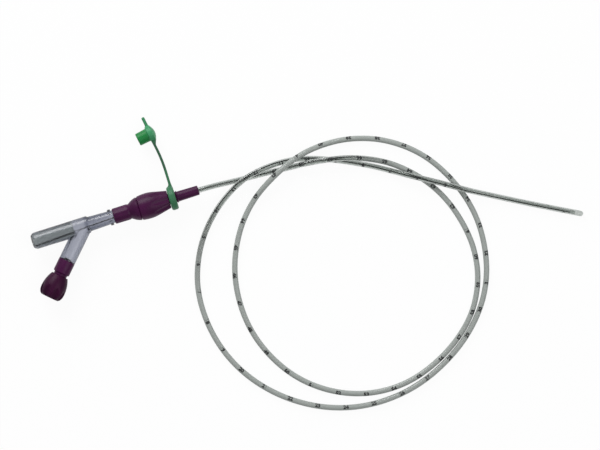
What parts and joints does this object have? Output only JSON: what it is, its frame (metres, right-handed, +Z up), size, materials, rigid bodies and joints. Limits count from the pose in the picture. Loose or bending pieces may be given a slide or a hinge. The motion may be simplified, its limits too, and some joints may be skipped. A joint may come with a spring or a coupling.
{
  "type": "feeding tube",
  "caption": "Fine infant feeding tube wound in two loops, with a fluted hub, tethered cap, Y connector with capped side port, and stylet.",
  "frame": {"origin": "on the floor under the middle of the connectors' box, from the side port cap to the hub's sleeve end and from the side port cap to the tethered cap's tab", "axes": "+X along the hub's axis towards the tube, +Y towards the tethered cap, +Z up"},
  "size_m": [0.193, 0.1232, 0.0093],
  "materials": {
    "tube_plastic": "translucent smooth tube with printed dark marks",
    "hub_plastic": "moulded deep purple, satin gloss",
    "cap_plastic": "soft moulded green, slightly translucent",
    "clear_plastic": "clear moulded plastic",
    "port_cap_plastic": "moulded dark purple, satin",
    "stylet_steel": "drawn fine wire",
    "anchor_filling": "cured greenish clear filling"
  },
  "bodies": {
    "hub": {"tube_hub": "hub_plastic", "feeding_tube": "tube_plastic"},
    "tether_cap": {"tethered_cap": "cap_plastic"},
    "y_set": {"y_connector": "clear_plastic", "outlet_connector": "hub_plastic", "side_port_connector": "hub_plastic", "stylet_anchor": "anchor_filling", "stylet": "stylet_steel"},
    "side_cap": {"side_port_cap": "port_cap_plastic"}
  },
  "joints": [
    {"name": "cap_swivel", "type": "hinge", "parent": "hub", "child": "tether_cap", "pos_m": [0.02251, -0.0038, 0.00463], "axis": [1, 0, 0], "continuous": true},
    {"name": "y_pull", "type": "slide", "parent": "hub", "child": "y_set", "axis": [-1, 0, 0], "range_m": [0, 0.012], "deforming": ["stylet"]},
    {"name": "port_cap_pull", "type": "slide", "parent": "y_set", "child": "side_cap", "axis": [-0.6858, -0.7278, 0], "range_m": [0, 0.009]}
  ]
}
